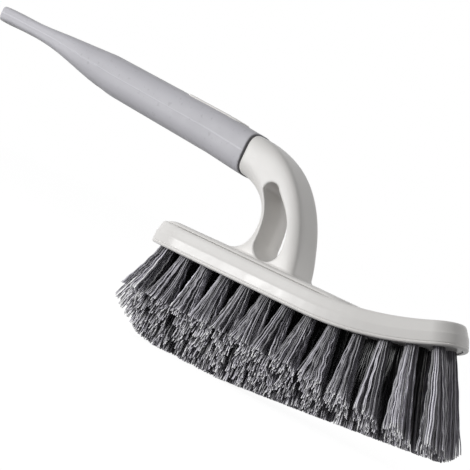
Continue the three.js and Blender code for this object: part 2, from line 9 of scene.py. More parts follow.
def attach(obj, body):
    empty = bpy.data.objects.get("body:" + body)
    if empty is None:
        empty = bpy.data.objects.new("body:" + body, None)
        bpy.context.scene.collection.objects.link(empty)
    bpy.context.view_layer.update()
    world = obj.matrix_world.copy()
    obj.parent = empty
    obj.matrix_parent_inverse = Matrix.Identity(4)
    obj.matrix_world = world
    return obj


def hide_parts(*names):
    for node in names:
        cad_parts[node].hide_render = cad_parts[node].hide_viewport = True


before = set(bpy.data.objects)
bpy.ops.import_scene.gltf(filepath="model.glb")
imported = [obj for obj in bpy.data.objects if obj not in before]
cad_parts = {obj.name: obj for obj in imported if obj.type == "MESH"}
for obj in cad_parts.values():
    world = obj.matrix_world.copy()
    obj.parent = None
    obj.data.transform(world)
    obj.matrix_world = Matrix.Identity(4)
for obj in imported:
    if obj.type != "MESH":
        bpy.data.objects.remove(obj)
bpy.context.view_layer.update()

# Sizes in millimetres, most of them the solids' own and some fitted closer to the photograph.
# x runs from the middle of the block, and SHIFT carries it to the row frame.
SHIFT = 84.1087
MILLIMETRE = 0.001
CLEARANCE = 0.3

# Block: plan, wall and the sweep of its toe. Profiles are (inset, height) pairs.
BLOCK_LENGTH = 207.6
BLOCK_WIDTH = 58.0
SHOULDER_STATION = 126.0
SHOULDER_WIDTH = 55.0
SHOULDER_SWELL = 0.5
SHOULDER_EASE = 28.0
SHOULDER_STEPS = 8
TOE_RADIUS = 16.0
BLOCK_HEIGHT = 13.0
BLOCK_WALL = 3.0
DECK_THICKNESS = 4.6
LEDGE_WIDTH = 2.0
CEILING_MARGIN = 9.0
FOOT_EDGE = 0.3
TOE_SWEEP_LENGTH = 88.0
TOE_SWEEP_RADIUS = 200.0
LIP_PROFILE = [
    (1.2, 0.0), (0.7, 0.14), (0.3, 0.45), (0.1, 0.9), (0.08, 1.3),
    (0.16, 1.42), (0.36, 1.5), (0.4, 1.65), (0.36, 1.8), (0.16, 1.9),
]
WALL_PROFILE = [
    (0.1, 2.1), (0.14, 4.0), (0.2, 6.2), (0.26, 6.9), (0.46, 7.5), (0.76, 8.5),
    (1.36, 11.0), (1.6, 11.9), (1.95, 12.7), (2.4, 13.2), (2.72, 13.35),
]
WALL_STEPS = 4
DECK_PROFILE = [(2.8, 13.3), (5.0, 13.0), (12.0, 13.0)]

# Tufts: where they stand and how their filaments spread
BRISTLE_HEIGHT = 52.5
TUFT_PLATE_THICKNESS = 4.6
TUFT_PLATE_RECESS = 0.6
TUFT_PLATE_EDGE = 0.3
TUFT_PLATE_LEAST = 0.4
TUFT_PLATE_POINTS = 60
TUFT_PLATE_CUT = 0.5
TUFT_PLATE_END = 0.05
TUFT_PLATES = ["bristles_heel", "bristles_mid_heel", "bristles_mid_toe", "bristles_toe"]
TUFT_PITCH = 15.0
TUFT_ROW_PITCH = 10.8
TUFT_LEAST_GAP = 8.5
TUFT_EDGE = 7.2
TUFT_TOE_EDGE = 10.3
TUFT_OUTER_ROW = 2
TUFT_ROOT = 0.4
FILAMENTS = 74
FILAMENT_RADIUS = 0.37
FILAMENT_SEGMENTS = 16
FILAMENT_SIDES = 4
TUFT_FOOT_RADIUS = 3.3
TUFT_TIP_RADIUS = 8.2
HEEL_FOOT_RADIUS = 4.6
HEEL_TIP_RADIUS = 9.4
TOE_FOOT_BACK = 1.8
TOE_REACH = 10.5
TOE_PULL = 0.25
TUFT_BEND = 0.28
TOE_BEND = -0.12
FIRST_FILAMENT = 0.5
FIRST_LOCK = 0.4
GOLDEN_ANGLE = 2.399963
TURN_RANGE = 6.28
SEED = 7

# Locks of filaments: pairs are the spread that a lock shares and each filament's own
LOCKS = 12
LOCK_PULL = 0.28
STRAY = (0.5, 0.45)
MOST_STRAY = 1.2
TIP_STRAY = 0.35
LEAN = (0.8, 0.5)
LEAN_BOW = 0.45
WAVE_COUNT = (3.2, 4.8)
WAVE_SIZE = (0.1, 0.34)
WAVE_VARIETY = (0.7, 1.2)
WAVE_PHASE = 0.5
WAVE_GROWTH = 3.5
RADIUS_VARIETY = (0.85, 1.15)

# Filament tones: along a filament, with painted shade at the roots and pale tips that are partly painted
# highlight; painted shade on the hidden rows; painted light on the outer rows and the heel
BRISTLE_COLOUR = (0.228, 0.222, 0.246)
LOCK_TONE = (0.75, 1.25)
LEAST_TONE = 0.2
TONE_RANGE = 2.2
TONE_POWER = 1.6
# painted shade towards the roots, and pale tips that are partly the cut ends' own paleness and partly
# painted highlight
SHADE_AND_LIGHT_ALONG = ([0, 0.3, 0.9, 0.965, 1.0], [0.45, 1.0, 1.05, 1.6, 2.8])
# painted shade on the roots of the rows hidden behind the outer ones
HIDDEN_ROW_SHADE = ([0.0, 0.5, 0.85], [0.06, 0.22, 1.0])
# painted light on the outer rows and, more of it, on the heel tufts
OUTER_ROW_PAINTED_LIGHT = 1.35
HEEL_PAINTED_LIGHT = 2.3

# Sole that the filaments are cut to, and how the tufts fan out
SOLE_HALF_WIDTH = 7.0
FLANK_RISE = 25.0
FLANK_HALF_WIDTH = 27.0
HEEL_TRIM_LENGTH = 29.5
HEEL_TRIM_RISE = 9.0
TOE_TRIM_LENGTH = 161.5
TOE_TRIM_RISE = 15.8
TOE_TRIM_POWER = 1.1
TOE_CORNER_START = 7.5
TOE_CORNER_LENGTH = 8.0
TOE_CORNER_RISE = 5.5
SIDE_FAN = 3.6
HEEL_FAN = 12.6
HEEL_FAN_LENGTH = 46.0
TOE_FAN = -1.8

# Base plate. The reveal is (grow, rise over the deck), the edge (grow, drop from the top).
PLATE_TOE_GAP = 61.0
PLATE_MARGIN = 3.4
PLATE_FRONT_RADIUS = 21.0
PLATE_THICKNESS = 3.4
PLATE_PROUD = 2.6
PLATE_HEEL_DROP = 2.0
PLATE_HEEL_EASE = 18.0
PLATE_SEAM_TOP = 0.32
PLATE_SEAM_FADE = (3.0, 26.0)
PLATE_MIDDLE = -14.0
PLATE_UNDERCUT = -0.9
PLATE_REVEAL = [(-0.8, 0.3), (-0.1, 0.7), (0.0, 0.8)]
PLATE_EDGE = [(-0.1, 1.5), (-0.4, 0.95), (-0.9, 0.5), (-1.6, 0.18), (-2.3, 0.04), (-3.0, 0.0), (-5.0, 0.0)]
POCKET_GROW = 0.55
POCKET_SPARE = 0.5
SCREWS = 4

# Neck: its front line, its back line in a hook and a flare, and its sections
NECK_WIDTH = 25.0
NECK_SECTION_POWER = 7.0
NECK_WAIST_RISE = 16.0
NECK_HOOK_SHARE = 0.7
NECK_FLARE = 12.5
NECK_FRONT = 97.2
NECK_FOOT_LENGTH = 36.2
NECK_HEIGHT = 63.0
NECK_DEPTH = 23.6
NECK_REACH = 63.9
FRONT_TOP_PULL = (0.6, 0.025)
FRONT_FOOT_PULL = (6.5, 31.0)
HOOK_TOP_PULL = (11.0, 2.0)
HOOK_WAIST_PULL = 13.0
FLARE_WAIST_PULL = 8.0
FLARE_FOOT_PULL = (3.0, 1.0)
NECK_START = 0.011
NECK_SQUARE_SHARE = 0.4
NECK_SLIM = 0.45
NECK_SLIM_START = 0.08
NECK_SLIM_LENGTH = 0.84
NECK_CROWN = 0.09
NECK_CROWN_PLACE = 0.62
NECK_CROWN_START = 0.15
NECK_CROWN_END = 0.8
NECK_FILLET = 0.8
NECK_STEPS = 110
NECK_POINTS = 160
NECK_VOXEL = 0.5
NECK_SMOOTHING = 7

# Hole through the neck. The draft is (place across, grow).
HOLE_TOP_RADIUS = 4.9
HOLE_FOOT_RADIUS = 8.7
HOLE_FOOT_RISE = 9.2
HOLE_FRONT_WALL = 13.6
HOLE_TOP_SHARE = 0.441
HOLE_TOP_DROP = 2.8
HOLE_TOP_START = 0.5
HOLE_BACK_PULLS = (7.0, 12.0)
HOLE_FOOT_PULL = 16.0
HOLE_FRONT_PULL = (11.0, 4.0)
HOLE_SIDE_STEPS = 32
HOLE_FOOT_STEPS = 24
HOLE_TOP_STEPS = 16
HOLE_DRAFT = [(-1.0, 1.6), (-0.5, 0.3), (0.0, -0.4), (0.5, -0.7), (1.0, -0.7)]

# Grip. Places along it are shares of its length. The mouth is (shrink, place along).
GRIP_LENGTH = 216.0
GRIP_WIDTH = 26.0
GRIP_DEPTH = 25.1
GRIP_WALL = 3.0
GRIP_SECTION_POWER = 2.7
GRIP_RING_POWER = 3.3
GRIP_RING_END = 0.35
TAIL_SECTION_POWER = 5.0
TAIL_SQUARE = (0.6, 0.9)
GRIP_SHOULDER = 0.9
SHOULDER_END = 0.15
GRIP_RISE = 9.0
HAND_END = 0.55
TAIL_RISE = 1.4
TAIL_TURN_START = 0.75
WAIST_DEPTH = 22.9
TAPER_START = 0.5
TAPER_END = 0.85
TAIL_DIP = 0.6
TAIL_DIP_PLACE = 0.83
TAIL_DIP_SPREAD = 0.07
TAIL_DEPTH = 9.3
TAIL_WIDTH = 25.0
TAIL_EDGE_DEPTH = 0.8
TAIL_EDGE_RATE = 1.6
TAIL_CLOSE = 0.985
GRIP_FIRST = 0.006
GRIP_STEPS = 130
TAIL_STEPS = 26
GRIP_POINTS = 128
MOUTH_RINGS = [
    (GRIP_WALL + 6.0, -5.0), (GRIP_WALL, -5.0), (GRIP_WALL, 0.0), (0.5, 0.0),
    (0.26, -0.05), (0.08, -0.2), (0.0, -0.5),
]
MOUTH_DEPTH = 0.02
# painted shade in the sleeve's open end and on the spigot, for the dark gap round the neck
MOUTH_SHADE = 0.4
SPIGOT_GAP = 0.6
SPIGOT_ENDS = (-4.0, 3.0)
SEAM_RIDGE = 0.13
SEAM_PARTS = [0.5, 0.25, 0.0, -0.25, -0.5]
SEAM_FADE = (0.01, 0.03)
SEAM_HALF_WIDTH = 0.35
# painted highlight along the parting line
SEAM_HIGHLIGHT = 1.2

# Slot in the tail and inlay in the grip's top. Edges are (grow, height).
SLOT_LENGTH = 33.0
SLOT_WIDTH = 9.0
SLOT_END_WALL = 8.5
SLOT_EDGE = [(0.0, -1.0), (0.35, -0.35), (0.9, 0.2), (1.1, 1.0)]
INLAY_LENGTH = 46.0
INLAY_WIDTH = 13.0
INLAY_THICKNESS = 3.8
INLAY_PROUD = 0.5
INLAY_START = 13.0
INLAY_EDGE = [(0.0, -0.9), (-0.12, -0.5), (-0.45, -0.18), (-1.1, -0.03), (-2.2, 0.0), (-6.3, 0.05)]

# Meshes: degrees past which an edge stays sharp, and the metres within which points are merged
SHARP = 40.0
BLOCK_SHARP = 38.0
FILAMENT_SHARP = 75.0
ALL_SMOOTH = 180.0
WELD = 5e-6

# Looks
WHITE_TONES = ((0.80, 0.785, 0.765), (0.83, 0.815, 0.795))
WHITE_GLOSS = (0.33, 0.4)
NECK_GLOSS = (0.38, 0.44)
PLASTIC_IOR = 1.49
RUBBER_TONES = ((0.51, 0.505, 0.54), (0.545, 0.54, 0.575))
RUBBER_GLOSS = (0.48, 0.6)
SPECK_STOPS = [(0.28, (0.80, 0.80, 0.80)), (0.36, (1.0, 1.0, 1.0))]
SPECK_SHARE = 0.6
FILAMENT_GLOSS = (0.38, 0.5)
FILAMENT_STOPS = [(0.25, (0.82, 0.82, 0.82)), (0.75, (1.0, 1.0, 1.0))]
STEEL_TONES = ((0.5, 0.51, 0.52), (0.6, 0.61, 0.62))
STEEL_GLOSS = (0.28, 0.4)
MOTTLE_STOPS = (0.3, 0.7)
BUMP_DISTANCE = 0.0001

# Studio, in metres and watts. A lamp is (name, offset from the target, size, power).
FLOOR_SIZE = 6.0
FLOOR_GREY = 0.3
FLOOR_GLOW = 0.92
FILL = 0.25
TARGET = Vector(((-60.0 + SHIFT) * MILLIMETRE, 0.0, 0.075))
LAMPS = [
    ("key", (-0.64, -1.12, 0.03), 0.24, 8.3),
    ("front", (-0.6, -1.1, 0.5), 0.6, 3.3),
    ("side", (1.05, 0.7, 0.35), 0.4, 1.9),
]
CAMERA_TURN = 35.0
CAMERA_ROLL = 25.0
CAMERA_DISTANCE = 1.15
FOCAL_PIXELS = 2070.0
PICTURE_PIXELS = 470.0
SENSOR_WIDTH = 36.0
CLIP_START = 0.01
CLIP_END = 50.0

# Places that follow from the sizes
deck_top = BRISTLE_HEIGHT + BLOCK_HEIGHT
plate_top = deck_top + PLATE_PROUD
heel_end = -BLOCK_LENGTH / 2
toe_end = BLOCK_LENGTH / 2
heel_radius = BLOCK_WIDTH / 2
sweep_start = toe_end - TOE_SWEEP_LENGTH
neck_front = heel_end + NECK_FRONT
ring_x = neck_front - NECK_REACH
ring_top = plate_top + NECK_HEIGHT
ring_middle = ring_top - NECK_DEPTH / 2
grip_top = ring_middle + GRIP_DEPTH / 2
tail_radius = TAIL_WIDTH / 2
tail_x = ring_x - GRIP_LENGTH


# Small maths

def lerp(a, b, t):
    return a + (b - a) * t


def clamp(v, low=0.0, high=1.0):
    return max(low, min(high, v))


def smoothstep(v, low, high):
    t = clamp((v - low) / (high - low))
    return t * t * (3 - 2 * t)


def signed_power(v, power):
    return math.copysign(abs(v) ** power, v)


def bezier(points, t):
    pts = [np.array(p, float) for p in points]
    while len(pts) > 1:
        pts = [lerp(a, b, t) for a, b in zip(pts, pts[1:])]
    return pts[0]


def spline(points, per_span):
    """Points on a smooth curve through the given ones."""
    pts = [np.array(p, float) for p in points]
    pts = [2 * pts[0] - pts[1], *pts, 2 * pts[-1] - pts[-2]]
    out = []
    for a, b, c, d in zip(pts, pts[1:], pts[2:], pts[3:]):
        for k in range(per_span):
            t = k / per_span
            out.append(0.5 * (2 * b + (c - a) * t + (2 * a - 5 * b + 4 * c - d) * t * t
                              + (3 * b - a - 3 * c + d) * t ** 3))
    out.append(pts[-2])
    return out


# Mesh making

def to_row(points):
    p = np.asarray(points, float).copy()
    p[:, 0] += SHIFT
    return p * MILLIMETRE


def finish_mesh(mesh, sharp):
    mesh.shade_smooth()
    mesh.set_sharp_from_angle(angle=math.radians(sharp))
    mesh.update()


def mesh_object(name, points, faces, sharp=SHARP):
    mesh = bpy.data.meshes.new(name)
    mesh.from_pydata(to_row(points).tolist(), [], faces)
    mesh.validate()
    finish_mesh(mesh, sharp)
    obj = bpy.data.objects.new(name, mesh)
    bpy.context.scene.collection.objects.link(obj)
    return obj


def skin(rings, mirrored=True):
    """Points and faces of a closed skin over rings of equal count.

    Point i of a mirrored ring faces point n - 1 - i, and its ends are closed by strips between them.
    """
    n = len(rings[0])
    points = np.concatenate([np.asarray(r, float) for r in rings])
    faces = []
    for r in range(len(rings) - 1):
        low, high = r * n, (r + 1) * n
        for i in range(n):
            j = (i + 1) % n
            faces.append((low + i, low + j, high + j, high + i))
    last = (len(rings) - 1) * n
    if mirrored:
        for i in range(n // 2 - 1):
            far = n - 1 - i
            faces.append((i, far, far - 1, i + 1))
            faces.append((last + i, last + i + 1, last + far - 1, last + far))
    else:
        faces.append(tuple(reversed(range(n))))
        faces.append(tuple(range(last, last + n)))
    volume = 0.0
    for f in faces:
        for b, c in zip(f[1:], f[2:]):
            volume += np.dot(points[f[0]], np.cross(points[b], points[c]))
    if volume < 0:
        faces = [tuple(reversed(f)) for f in faces]
    return points, faces


def bake(obj, sharp):
    """Puts the result of the object's modifiers into its mesh."""
    graph = bpy.context.evaluated_depsgraph_get()
    graph.update()
    mesh = bpy.data.meshes.new_from_object(obj.evaluated_get(graph))
    old = obj.data
    obj.modifiers.clear()
    obj.data = mesh
    bpy.data.meshes.remove(old)
    mesh.name = obj.name
    finish_mesh(mesh, sharp)


def weld(mesh):
    """Merges the points that a cut left within a few microns of each other."""
    work = bmesh.new()
    work.from_mesh(mesh)
    bmesh.ops.remove_doubles(work, verts=work.verts, dist=WELD)
    bmesh.ops.dissolve_degenerate(work, dist=WELD, edges=work.edges)
    work.to_mesh(mesh)
    work.free()


def cut(obj, points, faces, sharp=SHARP):
    """Takes the closed skin of the points and faces away from the object."""
    cutter = mesh_object("cutter", points, faces)
    mod = obj.modifiers.new("cut", "BOOLEAN")
    mod.operation = "DIFFERENCE"
    mod.solver = "EXACT"
    mod.object = cutter
    bake(obj, sharp)
    mesh = cutter.data
    bpy.data.objects.remove(cutter)
    bpy.data.meshes.remove(mesh)
    weld(obj.data)
    finish_mesh(obj.data, sharp)


def soften(obj, voxel, rounds):
    """Remeshes and smooths a body so that its edges get a moulded radius."""
    mod = obj.modifiers.new("voxels", "REMESH")
    mod.mode = "VOXEL"
    mod.voxel_size = voxel * MILLIMETRE
    mod.adaptivity = 0.0
    smooth = obj.modifiers.new("smooth", "SMOOTH")
    smooth.factor = 0.5
    smooth.iterations = rounds
    bake(obj, ALL_SMOOTH)


# Outlines

def circles_outline(circles, arc=40, side=40):
    """The hull of circles along x, as a loop that mirrors across y = 0."""
    tangents = []
    for a, b in zip(circles, circles[1:]):
        tangents.append(math.pi / 2 - math.asin((a[1] - b[1]) / (b[0] - a[0])))
    tip = math.pi / arc / 4
    half = []
    for i, (x, r) in enumerate(circles):
        start = math.pi - tip if i == 0 else tangents[i - 1]
        stop = tip if i == len(circles) - 1 else tangents[i]
        steps = arc if i in (0, len(circles) - 1) else 1
        turn = [lerp(start, stop, k / steps) for k in range(steps + 1)]
        points = [np.array((x + r * math.cos(a), r * math.sin(a))) for a in turn]
        if half:
            half += [lerp(half[-1], points[0], k / side) for k in range(1, side)]
        half += points
    return half + [np.array((p[0], -p[1])) for p in reversed(half)]


def block_circles():
    """Places and radii whose hull is the block's plan, eased from its long sides into the toe."""
    heel = (heel_end + heel_radius, heel_radius)
    shoulder = (heel_end + SHOULDER_STATION, SHOULDER_WIDTH / 2 + SHOULDER_SWELL)
    toe = (toe_end - TOE_RADIUS, TOE_RADIUS)
    slopes = [(b[1] - a[1]) / (b[0] - a[0]) for a, b in ((heel, shoulder), (shoulder, toe))]
    circles = [heel]
    for k in range(SHOULDER_STEPS + 1):
        along = lerp(-SHOULDER_EASE, SHOULDER_EASE, k / SHOULDER_STEPS)
        bend = (slopes[1] - slopes[0]) * (along + SHOULDER_EASE) ** 2 / (4 * SHOULDER_EASE)
        circles.append((shoulder[0] + along, shoulder[1] + slopes[0] * along + bend))
    return circles + [toe]


BLOCK_CIRCLES = block_circles()


def block_outline(inset):
    return circles_outline([(x, radius - inset) for x, radius in BLOCK_CIRCLES], side=16)


def half_width_at(x, inset):
    outline = block_outline(inset)
    side = outline[:len(outline) // 2]
    if x <= side[0][0] or x >= side[-1][0]:
        return 0.0
    return float(np.interp(x, [p[0] for p in side], [p[1] for p in side]))


def sweep(x, y, height):
    """A place over the block's foot, carried round the upward sweep of the toe."""
    if x <= sweep_start:
        return np.array((x, y, BRISTLE_HEIGHT + height))
    angle = (x - sweep_start) / TOE_SWEEP_RADIUS
    radius = TOE_SWEEP_RADIUS - height
    return np.array((sweep_start + radius * math.sin(angle), y,
                     BRISTLE_HEIGHT + TOE_SWEEP_RADIUS - radius * math.cos(angle)))


def block_ring(inset, height):
    return [sweep(p[0], p[1], height) for p in block_outline(inset)]


def plate_outline(grow):
    front = toe_end - PLATE_TOE_GAP
    return circles_outline([
        (heel_end + heel_radius, heel_radius - PLATE_MARGIN + grow),
        (front - PLATE_FRONT_RADIUS, PLATE_FRONT_RADIUS + grow),
    ])


# Materials

def grey(value):
    return (value, value, value)


def material(name):
    mat = bpy.data.materials.new(name)
    mat.use_nodes = True
    tree = mat.node_tree
    return mat, tree, tree.nodes["Principled BSDF"]


def add(tree, kind, **inputs):
    made = tree.nodes.new(kind)
    for key, value in inputs.items():
        made.inputs[key].default_value = value
    return made


def grain(tree, scale, detail):
    coord = tree.nodes.new("ShaderNodeTexCoord")
    noise = add(tree, "ShaderNodeTexNoise", Scale=scale, Detail=detail)
    tree.links.new(coord.outputs["Object"], noise.inputs["Vector"])
    return noise.outputs["Fac"]


def ramp(tree, source, stops):
    """Colours between two (place, colour) stops."""
    made = tree.nodes.new("ShaderNodeValToRGB")
    for element, (place, colour) in zip(made.color_ramp.elements, stops):
        element.position = place
        element.color = (*colour, 1.0)
    tree.links.new(source, made.inputs["Fac"])
    return made.outputs["Color"]


def mottle(tree, colours, scale, detail):
    """Grain that wanders between two colours."""
    return ramp(tree, grain(tree, scale, detail), zip(MOTTLE_STOPS, colours))


def multiply(tree, first, second, factor):
    mix = tree.nodes.new("ShaderNodeMix")
    mix.data_type = "RGBA"
    mix.blend_type = "MULTIPLY"
    mix.inputs["Factor"].default_value = factor
    tree.links.new(first, mix.inputs["A"])
    tree.links.new(second, mix.inputs["B"])
    return mix.outputs["Result"]


def painted(tree):
    """The colour that paint() gave each point, painted shade and light included."""
    layer = tree.nodes.new("ShaderNodeVertexColor")
    layer.layer_name = "tone"
    return layer.outputs["Color"]


def bump(tree, shader, height, strength):
    made = add(tree, "ShaderNodeBump", Strength=strength, Distance=BUMP_DISTANCE)
    tree.links.new(height, made.inputs["Height"])
    tree.links.new(made.outputs["Normal"], shader.inputs["Normal"])


def coat(tree, shader, colour, roughness):
    tree.links.new(colour, shader.inputs["Base Color"])
    tree.links.new(roughness, shader.inputs["Roughness"])


def white_plastic(name, gloss):
    mat, tree, shader = material(name)
    colour = mottle(tree, WHITE_TONES, scale=38.0, detail=4.0)
    coat(tree, shader, colour, mottle(tree, map(grey, gloss), scale=120.0, detail=3.0))
    shader.inputs["IOR"].default_value = PLASTIC_IOR
    bump(tree, shader, grain(tree, scale=900.0, detail=2.0), strength=0.05)
    return mat


def grip_rubber():
    mat, tree, shader = material("grip_rubber")
    broad = mottle(tree, RUBBER_TONES, scale=30.0, detail=4.0)
    speck = ramp(tree, grain(tree, scale=420.0, detail=2.0), SPECK_STOPS)
    specked = multiply(tree, broad, speck, SPECK_SHARE)
    # the painted layer brings the seam's painted highlight and the mouth's painted shade
    toned = multiply(tree, specked, painted(tree), 1.0)
    coat(tree, shader, toned, mottle(tree, map(grey, RUBBER_GLOSS), scale=200.0, detail=3.0))
    bump(tree, shader, grain(tree, scale=1500.0, detail=2.0), strength=0.12)
    return mat


def filament():
    mat, tree, shader = material("bristle")
    fine = ramp(tree, grain(tree, scale=700.0, detail=2.0), FILAMENT_STOPS)
    # the painted layer brings the filaments' painted shade and light
    toned = multiply(tree, painted(tree), fine, 1.0)
    coat(tree, shader, toned, mottle(tree, map(grey, FILAMENT_GLOSS), scale=300.0, detail=2.0))
    return mat


def steel():
    mat, tree, shader = material("screw_steel")
    colour = mottle(tree, STEEL_TONES, scale=300.0, detail=3.0)
    coat(tree, shader, colour, mottle(tree, map(grey, STEEL_GLOSS), scale=500.0, detail=3.0))
    shader.inputs["Metallic"].default_value = 1.0
    return mat


WHITE = white_plastic("white_plastic", WHITE_GLOSS)
NECK_WHITE = white_plastic("neck_plastic", NECK_GLOSS)
RUBBER = grip_rubber()
FILAMENT = filament()
STEEL = steel()


def paint(obj, colours):
    """Gives each point of the mesh its colour in the layer that the materials read."""
    layer = obj.data.color_attributes.new("tone", "FLOAT_COLOR", "POINT")
    rgba = np.ones((len(colours), 4), dtype=np.float32)
    rgba[:, :3] = colours
    layer.data.foreach_set("color", rgba.ravel())


def dress(obj, mat, slot, *nodes):
    obj.data.materials.clear()
    obj.data.materials.append(mat)
    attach(obj, "root")
    if nodes:
        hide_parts(*nodes)


# Brush block: a crowned wall with a lip and a groove along its foot

def block_shell():
    ceiling = BLOCK_HEIGHT - DECK_THICKNESS
    seat = TUFT_PLATE_RECESS + TUFT_PLATE_THICKNESS + CLEARANCE
    inside = [
        (BLOCK_WALL + CEILING_MARGIN, ceiling), (BLOCK_WALL + LEDGE_WIDTH, ceiling),
        (BLOCK_WALL + LEDGE_WIDTH, seat), (BLOCK_WALL, seat),
        (BLOCK_WALL, FOOT_EDGE), (BLOCK_WALL - FOOT_EDGE, 0.0),
    ]
    levels = [*inside, *LIP_PROFILE, *spline(WALL_PROFILE, WALL_STEPS), *DECK_PROFILE]
    shell = mesh_object("block_shell", *skin([block_ring(inset, height) for inset, height in levels]))
    floor = deck_top - PLATE_THICKNESS + PLATE_PROUD - CLEARANCE - POCKET_SPARE
    pocket = []
    for z in (floor, deck_top + BLOCK_HEIGHT):
        pocket.append([(p[0], p[1], z) for p in plate_outline(POCKET_GROW)])
    cut(shell, *skin(pocket), sharp=BLOCK_SHARP)
    dress(shell, WHITE, "white_plastic", "brush_block")


block_shell()


# Handle frame: base plate and the arched neck with its hole

def plate_ring(grow, z):
    """The plate's outline at a height. Its top runs down to the heel, and its undercut closes there."""
    ring = []
    for outer, p in zip(plate_outline(0.0), plate_outline(grow)):
        from_heel = outer[0] - heel_end - PLATE_MARGIN
        drop, shut = 0.0, 0.0
        if z > deck_top:
            high = (z - deck_top) / PLATE_PROUD
            drop = PLATE_HEEL_DROP * high * (1 - smoothstep(from_heel, 0.0, PLATE_HEEL_EASE))
            if high <= PLATE_SEAM_TOP:
                shut = 1 - smoothstep(from_heel, *PLATE_SEAM_FADE)
        place = lerp(p, outer, shut)
        ring.append((place[0], place[1], z - drop))
    return ring


def base_plate():
    low = deck_top - PLATE_THICKNESS + PLATE_PROUD
    levels = [(PLATE_MIDDLE, low), (PLATE_UNDERCUT, low)]
    levels += [(grow, deck_top + rise) for grow, rise in PLATE_REVEAL]
    levels += [(grow, plate_top - drop) for grow, drop in PLATE_EDGE]
    levels.append((PLATE_MIDDLE, plate_top))
    obj = mesh_object("base_plate", *skin([plate_ring(grow, z) for grow, z in levels]))
    dress(obj, WHITE, "white_plastic")


base_plate()


def neck_section(top, bottom, width, power, crown):
    """A rounded section between a front and a back point, with sides that bulge by the crown."""
    ring = []
    for k in range(NECK_POINTS):
        angle = 2 * math.pi * (k + 0.5) / NECK_POINTS
        y = width / 2 * signed_power(math.sin(angle), 2 / power)
        along = (1 - signed_power(math.cos(angle), 2 / power)) / 2
        p = lerp(top, bottom, along)
        ring.append((p[0], y * (1 - crown * (along / NECK_CROWN_PLACE - 1) ** 2), p[1]))
    return ring


def neck_front_at(t):
    return bezier([
        (ring_x, ring_top),
        (ring_x + FRONT_TOP_PULL[0] * NECK_REACH, ring_top - FRONT_TOP_PULL[1] * NECK_HEIGHT),
        (neck_front - FRONT_FOOT_PULL[0], plate_top + FRONT_FOOT_PULL[1]),
        (neck_front, plate_top),
    ], t)


def neck_back_at(t):
    back = neck_front - NECK_FOOT_LENGTH
    hook_start = ring_top - NECK_DEPTH
    waist = plate_top + NECK_WAIST_RISE
    if t <= NECK_HOOK_SHARE:
        return bezier([
            (ring_x, hook_start),
            (back - HOOK_TOP_PULL[0], hook_start - HOOK_TOP_PULL[1]),
            (back, waist + HOOK_WAIST_PULL),
            (back, waist),
        ], t / NECK_HOOK_SHARE)
    return bezier([
        (back, waist),
        (back, waist - FLARE_WAIST_PULL),
        (back - FLARE_FOOT_PULL[0], plate_top + FLARE_FOOT_PULL[1]),
        (back - NECK_FLARE, plate_top),
    ], (t - NECK_HOOK_SHARE) / (1 - NECK_HOOK_SHARE))


def arc_points(x, z, radius, start, stop, steps):
    turn = [lerp(start, stop, k / steps) for k in range(steps)]
    return [np.array((x + radius * math.cos(a), z + radius * math.sin(a))) for a in turn]


def bezier_points(points, steps):
    return [bezier(points, k / steps) for k in range(steps)]


def hole_outline():
    """The hole's loop: down its back, round its foot, up its front and over its top."""
    foot_x = neck_front - HOLE_FRONT_WALL - HOLE_FOOT_RADIUS
    foot_z = plate_top + HOLE_FOOT_RISE
    top_x = ring_x + HOLE_TOP_SHARE * NECK_REACH
    top_z = ring_top - NECK_DEPTH - HOLE_TOP_DROP
    back, front = foot_x - HOLE_FOOT_RADIUS, foot_x + HOLE_FOOT_RADIUS
    top = arc_points(top_x, top_z, HOLE_TOP_RADIUS, HOLE_TOP_START, math.pi, HOLE_TOP_STEPS)
    foot = arc_points(foot_x, foot_z, HOLE_FOOT_RADIUS, math.pi, 2 * math.pi, HOLE_FOOT_STEPS)
    down = bezier_points([
        (top_x - HOLE_TOP_RADIUS, top_z),
        (top_x, top_z - HOLE_BACK_PULLS[0]),
        (back, top_z - HOLE_BACK_PULLS[1]),
        (back, foot_z),
    ], HOLE_SIDE_STEPS)
    up = bezier_points([
        (front, foot_z),
        (front, foot_z + HOLE_FOOT_PULL),
        (top_x + HOLE_FRONT_PULL[0], top_z - HOLE_FRONT_PULL[1]),
        top[0],
    ], HOLE_SIDE_STEPS)
    return down + foot + up + top


def grown(loop, distance):
    """A closed counter-clockwise loop, moved outwards along its normals."""
    pts = np.array(loop)
    along = np.roll(pts, -1, axis=0) - np.roll(pts, 1, axis=0)
    out = np.stack([along[:, 1], -along[:, 0]], axis=1)
    return pts + distance * out / np.linalg.norm(out, axis=1, keepdims=True)


def neck_ring(t):
    """The neck's section, slimmed half-way along and flared by a fillet where it meets the plate."""
    top, bottom = neck_front_at(t), neck_back_at(t)
    across = (bottom - top) / np.linalg.norm(bottom - top)
    slim = NECK_SLIM * math.sin(math.pi * clamp((t - NECK_SLIM_START) / NECK_SLIM_LENGTH)) * across
    top, bottom = top + slim, bottom - slim
    short = NECK_FILLET - max(0.0, top[1] - plate_top)
    out = NECK_FILLET - math.sqrt(NECK_FILLET ** 2 - short ** 2) if short > 0.0 else 0.0
    top = top + np.array((out, 0.0))
    power = lerp(GRIP_RING_POWER, NECK_SECTION_POWER, smoothstep(t, 0.0, NECK_SQUARE_SHARE))
    crown = NECK_CROWN * smoothstep(t, 0.0, NECK_CROWN_START) * (1 - smoothstep(t, NECK_CROWN_END, 1.0))
    return neck_section(top, bottom, NECK_WIDTH + 2 * out, power, crown)


